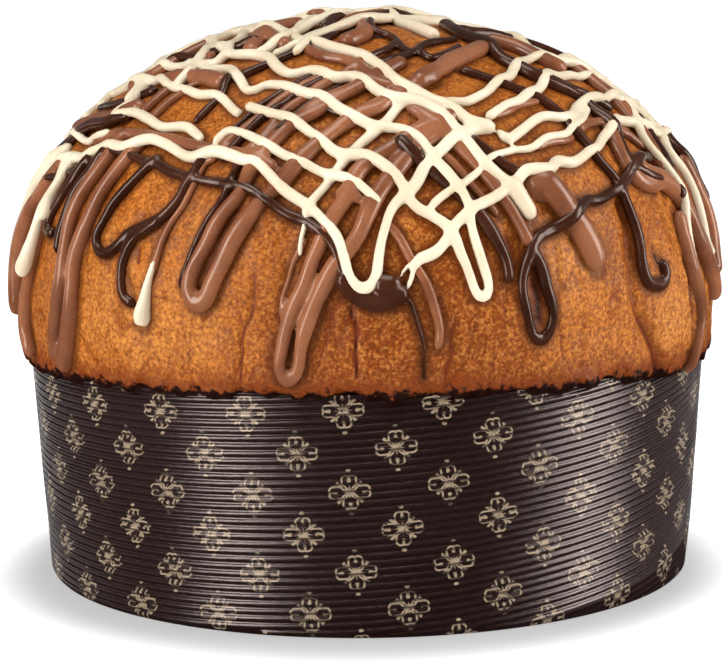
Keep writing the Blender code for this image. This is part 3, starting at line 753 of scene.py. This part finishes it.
DARK_RUNS = [
    (3.0, [(-108, -36), (-99, -49), (-91, -59), (-83, -64), (-72, -74), (-66, -82), (-61, -88), (-56, -94),
        (-50, -98.5), (-42, -104), (-36, -107.5), (-30, -112), (-24, -117), (-18, -121), (-13, -125),
        (-10, -130), (-8, -136), (-4, -140), (3, -142.5), (10, -141), (14, -138)]),
    (3.3, [(-61, -84), (-66, -84.5), (-74, -86.5), (-82, -88.5), (-88.5, -91), (-90, -94.5), (-88, -98.5),
        (-82, -100.5), (-76, -100.5), (-70, -102), (-64, -103), (-58, -101.5), (-54, -98), (-46, -91)]),
    (3.2, [(-64, -104.5), (-70, -103.5), (-77, -103.5), (-83, -105.5), (-86, -110), (-86.5, -114),
        (-84, -118)]),
    (3.8, [(-84, -60), (-92, -62), (-100, -61.5), (-107, -61), (-110, -65), (-107, -70)]),
    (3.8, [(-78, -66), (-84, -67.5), (-92, -67.5), (-98, -71), (-104, -75), (-107.5, -78.5)]),
    ((3.2, 4.6), [(27, -63.5), (35, -64.7), (44, -67), (53, -67.5), (58.5, -69.5), (63, -74), (70, -77.5),
        (79.5, -81), (84, -85), (89, -89), (93, -92.5), (96.5, -96.5), (101, -98.3), (105.5, -96.3),
        (108.5, -92.5), (107.5, -89), (104, -88.5)]),
    ((3.6, 4.4), [(91, -56), (87, -62), (83.5, -70.5), (81, -81), (76, -89.5), (68, -97), (64, -104.5),
        (59.5, -110), (54, -116), (52.5, -121), (53, -128), (56.5, -134.5), (62, -139.5), (66.8, -138.8),
        (68.3, -134.5), (65.8, -129), (61, -125), (57, -121.5), (53.5, -119)]),
    (4.4, [(9, -98), (20, -107), (36, -116), (45, -124), (48.5, -130)]),
    (4.8, [(24, -14), (28, -30), (33.5, -36.5), (38.5, -45.5), (44.5, -50.5), (51.5, -53.5), (64.5, -53),
        (70, -56.5), (76, -62)]),
    (3.6, [(50, -47.5), (57, -48.5), (66, -48), (76, -46)]),
    (3.2, [(-36, -62), (-27, -57.5), (-20, -54), (-14, -47), (-9, -41), (-3, -28)]),
    (5.2, [(-9, -135), (-5, -140), (1, -142.5), (8, -142), (13, -139)]),
    (6.4, [(2, -138.5), (7, -138.5), (11, -137.5)]),
    (4.0, [(-12, -34), (-9, -24), (-4, -12)]),
    (3.8, [(-102, -26), (-92, -34), (-84, -42), (-78, -50), (-70, -56)]),
    (3.4, [(-84, -20), (-78, -32), (-72, -40), (-62, -46)]),
    (3.4, [(-60, -22), (-50, -30), (-40, -36), (-30, -40)]),
    (3.4, [(-8, -38), (-2, -28), (6, -18), (14, -8), (26, 2)]),
    (4.2, [(28, -26), (38, -18), (50, -14), (62, -14), (74, -20)]),
    (4.6, [(84, -36), (92, -44), (100, -52), (104, -60)]),
    (4.2, [(96, -20), (104, -28), (112, -28), (120, -30)]),
]

# The finer runs, which the loaf's solid doesn't have.
FINE_WHITE_RUNS = [
    (1.8, [(-18, -118), (-20.5, -123), (-21.5, -129)]),
    (2.3, [(19.5, -117.5), (24.5, -111), (29, -108), (33, -104), (36.5, -98.5), (43, -93), (48, -89.5),
        (52.5, -85), (58.5, -79), (61, -75), (65, -65), (67, -57)]),
    (2.6, [(-98, -18), (-92, -32), (-88, -45), (-81, -54), (-77, -58)]),
    (1.6, [(13.5, -139), (15, -136), (16, -132)]),
    (1.3, [(11, -136), (13, -133), (17.5, -129)]),
    (2.6, [(77, -40), (80, -29), (88, -14)]),
    (2.8, [(-43, -48), (-49, -43), (-52, -36)]),
]
FINE_MILK_RUNS = [
    (2.8, [(-46, -95), (-35, -86.5), (-23, -77.5), (-10, -68.6)]),
    (2.6, [(3, -114), (10, -106), (16, -100), (22, -94), (20, -91), (15, -91)]),
    (3.0, [(-9, -113), (-5, -114), (-1, -116)]),
    (2.2, [(-19, -124), (-24, -131), (-29, -138), (-31, -144)]),
    (3.0, [(6, -122), (12, -128), (16, -132), (20, -136), (24, -142), (26, -148), (26, -153)]),
    (2.6, [(36, -84), (41, -79), (47, -72), (53, -66)]),
    (3.0, [(64, -72), (68, -64), (76, -57), (88, -53)]),
    (2.8, [(50, -88), (57, -82), (62, -76)]),
    (3.2, [(-64, -66), (-56, -60), (-49, -56)]),
    ((2.0, 2.8), [(-46, -92), (-52, -100), (-56, -104), (-62, -107), (-68, -111), (-73, -115)]),
    (2.6, [(22, -100), (31, -107), (41, -114)]),
]
FINE_DARK_RUNS = [
    (1.8, [(14, -141), (18, -146.5), (20.5, -152.5), (21, -158), (22, -162)]),
    (2.4, [(-36, -96), (-38.5, -101), (-43, -106.5), (-50.5, -113), (-57.5, -118.5), (-64, -124.5)]),
    (3.0, [(77, -54), (77, -64), (82, -70.5), (89, -69.5), (95, -65)]),
    (2.8, [(1, -31), (2.5, -41), (8, -44.5), (11, -54), (14, -57)]),
    (2.6, [(0, -64.5), (6, -66), (12, -60), (16, -51), (22, -43), (27, -36)]),
    (2.6, [(15, -55), (19, -59.5), (24, -53), (28, -44)]),
    (2.4, [(1, -63), (6, -57), (8, -49)]),
    (2.6, [(-50, -77), (-42, -70), (-38, -60)]),
    (2.4, [(-47, -92.5), (-36, -84), (-24, -75), (-11, -66.5)]),
    (2.4, [(-43, -96), (-32, -87.5), (-21, -79), (-9, -70.5)]),
    (2.2, [(-26, -93), (-16, -84), (-6, -76)]),
    (2.0, [(-14, -84), (-4, -90), (6, -94)]),
    (3.0, [(30, -92), (40, -97), (48, -101)]),
    (1.3, [(104, -90.5), (100, -88)]),
]

# The seed for the back of each group, and its runs.
RUN_GROUPS = [
    (11, {"white": WHITE_RUNS, "milk": MILK_RUNS, "dark": DARK_RUNS}),
    (12, {"white": FINE_WHITE_RUNS, "milk": FINE_MILK_RUNS, "dark": FINE_DARK_RUNS}),
]


def smooth_run(points, spacing):
    """Places about this far apart on a curve through the given ones."""
    ends = [2 * Vector(points[0]) - Vector(points[1])] + [Vector(p) for p in points]
    ends.append(2 * Vector(points[-1]) - Vector(points[-2]))
    run = []
    for a, b, c, d in zip(ends, ends[1:], ends[2:], ends[3:]):
        count = max(int((c - b).length / spacing), 1)
        for i in range(count):
            t = i / count
            run.append(0.5 * (2 * b + (c - a) * t + (2 * a - 5 * b + 4 * c - d) * t * t
                              + (3 * b - a - 3 * c + d) * t * t * t))
    run.append(ends[-2])
    return run


def turned_run(points, rng):
    """The same run on the far side of the dome, a little shifted."""
    cos, sin = math.cos(BACK_TURN), math.sin(BACK_TURN)
    dx, dy = rng.uniform(-BACK_SHIFT, BACK_SHIFT), rng.uniform(-BACK_SHIFT, BACK_SHIFT)
    return [(x * cos - y * sin + dx, x * sin + y * cos + dy) for x, y in points]


def poured(width, points, seed):
    """(x, y, half thickness) along a run, with the wobble and the swelling of a poured thread."""
    run = smooth_run(points, RUN_STEP)
    first, last = width if isinstance(width, tuple) else (width, width)
    made = []
    travelled = 0.0
    for i, here in enumerate(run):
        ahead, behind = run[min(i + 1, len(run) - 1)], run[max(i - 1, 0)]
        travelled += (here - behind).length
        side = Vector((behind.y - ahead.y, ahead.x - behind.x)).normalized()
        sway = noise.noise(Vector((travelled / SWAY_LENGTH, seed * 3.7, 0.5)))
        swell = noise.noise(Vector((travelled / SWELL_LENGTH, seed * 5.1, 9.5)))
        wide = first + (last - first) * (i / (len(run) - 1)) ** 2
        place = here + side * sway * SWAY * min(1.0, 3.0 / wide)
        half = wide / 2 * (1.0 + SWELL * swell)
        from_end = min(i, len(run) - 1 - i) * RUN_STEP
        to_full = max(1.0 - (from_end + 0.2 * half) / half, 0.0)
        half *= math.sqrt(1.0 - to_full ** 2)
        made.append((place.x, place.y, half))
    return made


def rise_of(radius):
    """How high the middle of a thread lies over the crust: wide pools sink flat."""
    return RISE * radius - SINK * max(radius - SINK_FROM, 0.0)


def tree_of(places):
    """A tree in which the nearest of these places are found."""
    tree = KDTree(len(places))
    for i, place in enumerate(places):
        tree.insert(place, i)
    tree.balance()
    return tree


def lift_over(run, colour, below):
    """How far each point of a run is raised by the threads that already lie below it."""
    lift = np.zeros(len(run))
    if not below:
        return lift
    tree = tree_of([(x, y, 0.0) for x, y, *_ in below])
    for i, (x, y, radius) in enumerate(run):
        for _, index, distance in tree.find_range((x, y, 0.0), radius + CROSSING_REACH):
            _, _, other_radius, top, other_colour = below[index]
            touch = 1.0 - (distance / (radius * 0.7 + other_radius)) ** 2
            if touch > 0.0:
                share = LIFT_MELTED if other_colour == colour else LIFT_CROSSED
                lift[i] = max(lift[i], share * touch ** 0.5 * top)
    count = len(LIFT_SMOOTHING)
    padded = np.pad(lift, count // 2, mode="edge")
    return np.array([padded[i:i + count] @ LIFT_SMOOTHING / sum(LIFT_SMOOTHING)
                     for i in range(len(lift))])


def laid_runs():
    """All runs in pouring order, each raised over those that it crosses."""
    sets = {}
    for seed, group in RUN_GROUPS:
        rng = random.Random(seed)
        for colour, runs in group.items():
            sets.setdefault((colour, "front"), []).extend(runs)
            turned = [(width, turned_run(points, rng)) for width, points in runs]
            sets.setdefault((colour, "back"), []).extend(turned)
    below = []
    laid = {}
    seed = 0
    for colour in ("milk", "dark", "white"):
        for half in ("front", "back"):
            laid[colour, half] = []
            for width, points in sets[colour, half]:
                seed += 1
                run = [(x, y, radius * FULLNESS[colour]) for x, y, radius in poured(width, points, seed)]
                raised = [(x, y, radius, up + rise_of(radius))
                          for (x, y, radius), up in zip(run, lift_over(run, colour, below))]
                laid[colour, half].append(raised)
                below += [(x, y, radius, middle + THREAD_TOP * radius, colour)
                          for x, y, radius, middle in raised]
    return laid


def turned_to_mesh(item):
    """The mesh of an object with its modifiers, in place of the object."""
    graph = bpy.context.evaluated_depsgraph_get()
    mesh = bpy.data.meshes.new_from_object(item.evaluated_get(graph))
    bpy.data.objects.remove(item, do_unlink=True)
    return mesh


def drizzle_mesh(name, runs, cell, tall):
    """Round threads on the flattened dome, melted into one skin and wrapped over the crust."""
    curve = bpy.data.curves.new(name, "CURVE")
    curve.dimensions = "3D"
    curve.bevel_depth = 1.0
    curve.bevel_resolution = 3
    curve.use_fill_caps = True
    for run in runs:
        spline = curve.splines.new("POLY")
        spline.points.add(len(run) - 1)
        for point, (x, y, radius, height) in zip(spline.points, run):
            point.co = (x, y, height, 1.0)
            point.radius = radius
    tubes = turned_to_mesh(added(name, curve))
    melted = added(name, tubes)
    remesh = melted.modifiers.new("Melt", "REMESH")
    remesh.mode = "VOXEL"
    remesh.voxel_size = cell
    relax = melted.modifiers.new("Relax", "SMOOTH")
    relax.factor = 0.5
    relax.iterations = 3
    skin = turned_to_mesh(melted)
    flat = np.empty(len(skin.vertices) * 3)
    skin.vertices.foreach_get("co", flat)
    flat = flat.reshape(-1, 3)
    place, normal, _ = crust_frame(flat[:, 0], flat[:, 1])
    place = place + normal * (lumps(place) + flat[:, 2] * tall * MM)[:, None]
    skin.vertices.foreach_set("co", place.ravel())
    skin.update()
    skin.shade_smooth()
    return skin


def chocolate_finish(name, light, deep, roughness, specular, shine, glow):
    melt = Finish(name, Roughness=roughness, Specular_IOR_Level=specular, Specular_Tint=shine,
                  Subsurface_Weight=glow, Subsurface_Scale=0.003, Coat_Weight=0.10, Coat_Roughness=0.12)
    here = melt.place()
    tint = melt.noise(here, 60.0, detail=2.0)
    skin = melt.noise(here, 260.0, detail=2.0)
    tone = melt.blend(melt.ramp(tint, 0.3, 0.7), deep, light)
    melt.give("Base Color", tone)
    gloss = melt.ramp(skin, 0.3, 0.7, top=roughness + 0.08, bottom=roughness - 0.06)
    melt.give("Roughness", gloss)
    melt.give("Normal", melt.bump(skin, 0.12 * MM, 0.35))
    return melt.material


# The cell that each chocolate is melted with, in millimetres, how tall it lies, its looks.
CHOCOLATES = {
    "milk": (0.74, 0.84, dict(light=(0.29, 0.106, 0.046, 1), deep=(0.16, 0.050, 0.020, 1), roughness=0.26,
                              specular=0.50, shine=(1, 0.86, 0.76, 1), glow=0.02)),
    "dark": (0.70, 0.86, dict(light=(0.050, 0.014, 0.006, 1), deep=(0.026, 0.007, 0.003, 1), roughness=0.24,
                              specular=0.42, shine=(1, 0.78, 0.66, 1), glow=0.0)),
    "white": (0.64, 0.92, dict(light=(0.78, 0.675, 0.50, 1), deep=(0.68, 0.560, 0.38, 1), roughness=0.36,
                               specular=0.45, shine=(1, 1, 1, 1), glow=0.08)),
}

# The back, which the photo doesn't show, is melted a little coarser.
CELL_WIDENED = {"front": 1.0, "back": 1.3}


def mark_beside(laid):
    """Gives the crust how far each point is from the edge of a thread, in millimetres, for the shade painted
    beside the threads.
    """
    places, radii = [], []
    for threads in laid.values():
        for run in threads:
            flat = np.array(run)
            place, normal, _ = crust_frame(flat[:, 0], flat[:, 1])
            places += list(place + normal * lumps(place)[:, None])
            radii += list(flat[:, 2])
    tree = tree_of(places)
    beside = []
    for vert in crust.data.vertices:
        _, index, distance = tree.find(vert.co)
        beside.append(distance / MM - radii[index])
    crust.data.attributes.new("beside_thread", "FLOAT", "POINT").data.foreach_set("value", beside)


runs = laid_runs()
mark_beside(runs)
for colour, (cell, tall, look) in CHOCOLATES.items():
    material = chocolate_finish("chocolate_" + colour, **look)
    for half, widened in CELL_WIDENED.items():
        mesh = drizzle_mesh(f"drizzle_{colour}_{half}", runs[colour, half], cell * widened, tall)
        mesh.materials.append(material)
        piece = added(f"drizzle_{colour}_{half}", mesh)
        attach(piece, "root")
        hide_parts("bread")

# Floor and light
# A plain white table in soft daylight: a broad light above, one at each side, a weaker one in front, and a
# bright room. The table glows as painted light, and less close round the loaf, as a painted shadow.
FLOOR_SIZE = 8.0
# Where the shadow painted round the loaf on the table begins and ends, and where the table's painted glow is
# full, in metres from the middle.
SHADE_FROM = 0.098
SHADE_TO = 0.126
GLOW_TO = 0.124
ROOM_DIM = 0.15
BEHIND_CAMERA = 0.22

floor_mesh = bmesh.new()
bmesh.ops.create_grid(floor_mesh, x_segments=1, y_segments=1, size=FLOOR_SIZE)
table = Finish("table", Roughness=0.7, Specular_IOR_Level=0.1, Emission_Color=(1, 1, 1, 1))
on_table = table.place()
spread = table.node("VectorMath", operation="LENGTH")
table.link(on_table, spread.inputs[0])
apart = table.node("SeparateXYZ")
table.link(on_table, apart.inputs[0])
# The painted shadow reaches less far on the right side and further in front.
lit_side = table.math("MULTIPLY", table.math("MAXIMUM", apart.outputs[0], 0.0), 0.06)
shaded_front = table.math("MULTIPLY", table.math("MINIMUM", apart.outputs[1], 0.0), 0.10)
away = table.math("ADD", spread.outputs["Value"], table.math("ADD", lit_side, shaded_front))
# Painted shadow: the table's colour is darker close round the loaf.
whiteness = table.ramp(spread.outputs["Value"], SHADE_FROM, SHADE_TO, top=0.42, bottom=0.12)
table.give("Base Color", whiteness)
# Painted light: the table glows, fading to about half close round the loaf as a painted shadow.
glow = table.ramp(away, SHADE_FROM, GLOW_TO, top=1.0, bottom=0.48)
table.give("Emission Strength", glow)
floor = new_piece("floor", floor_mesh, table.material)
floor.visible_glossy = False

# Name, place and size in metres, power in watts.
LIGHTS = [
    ("above", (-0.10, -0.20, 1.15), (0.6, 0.6), 4.8),
    ("left", (-0.86, -0.76, 0.42), (0.42, 1.1), 13.0),
    ("right", (1.00, -0.30, 0.42), (0.44, 1.1), 12.0),
    ("front", (-0.15, -1.15, 0.95), (0.5, 0.5), 3.0),
]
for name, place, size, power in LIGHTS:
    light = bpy.data.lights.new(name, "AREA")
    light.shape = "RECTANGLE"
    light.size, light.size_y = size
    light.energy = power
    lamp = added(name, light)
    lamp.location = place
    lamp.visible_glossy = name != "front"
    lamp.rotation_euler = (Vector((0, 0, 0.09)) - Vector(place)).to_track_quat("-Z", "Y").to_euler()

# The room is white at the level of the table, dim overhead and dimmer behind the camera.
world = bpy.data.worlds.new("room")
bpy.context.scene.world = world
world.use_nodes = True
room = Nodes(world.node_tree)
toward = room.node("SeparateXYZ")
room.link(room.node("TexCoord").outputs["Generated"], toward.inputs[0])
brightness = room.node("ValToRGB")
room.link(room.math("ADD", toward.outputs["Z"], 0.5), brightness.inputs["Fac"])
stops = brightness.color_ramp.elements
stops[0].position, stops[0].color = 0.44, (0.02, 0.02, 0.02, 1)
stops[1].position, stops[1].color = 0.47, (1, 1, 1, 1)
for position, level in ((0.55, 1.0), (0.64, ROOM_DIM)):
    stops.new(position).color = (level, level, level, 1)
behind = room.ramp(toward.outputs["Y"], -0.45, 0.25, bottom=BEHIND_CAMERA)
background = room.tree.nodes["Background"]
dimmed = room.math("MULTIPLY", brightness.outputs["Color"], behind)
room.link(dimmed, background.inputs["Strength"])
background.inputs["Color"].default_value = (1.0, 1.0, 1.0, 1.0)
bpy.context.scene.view_settings.view_transform = "Standard"
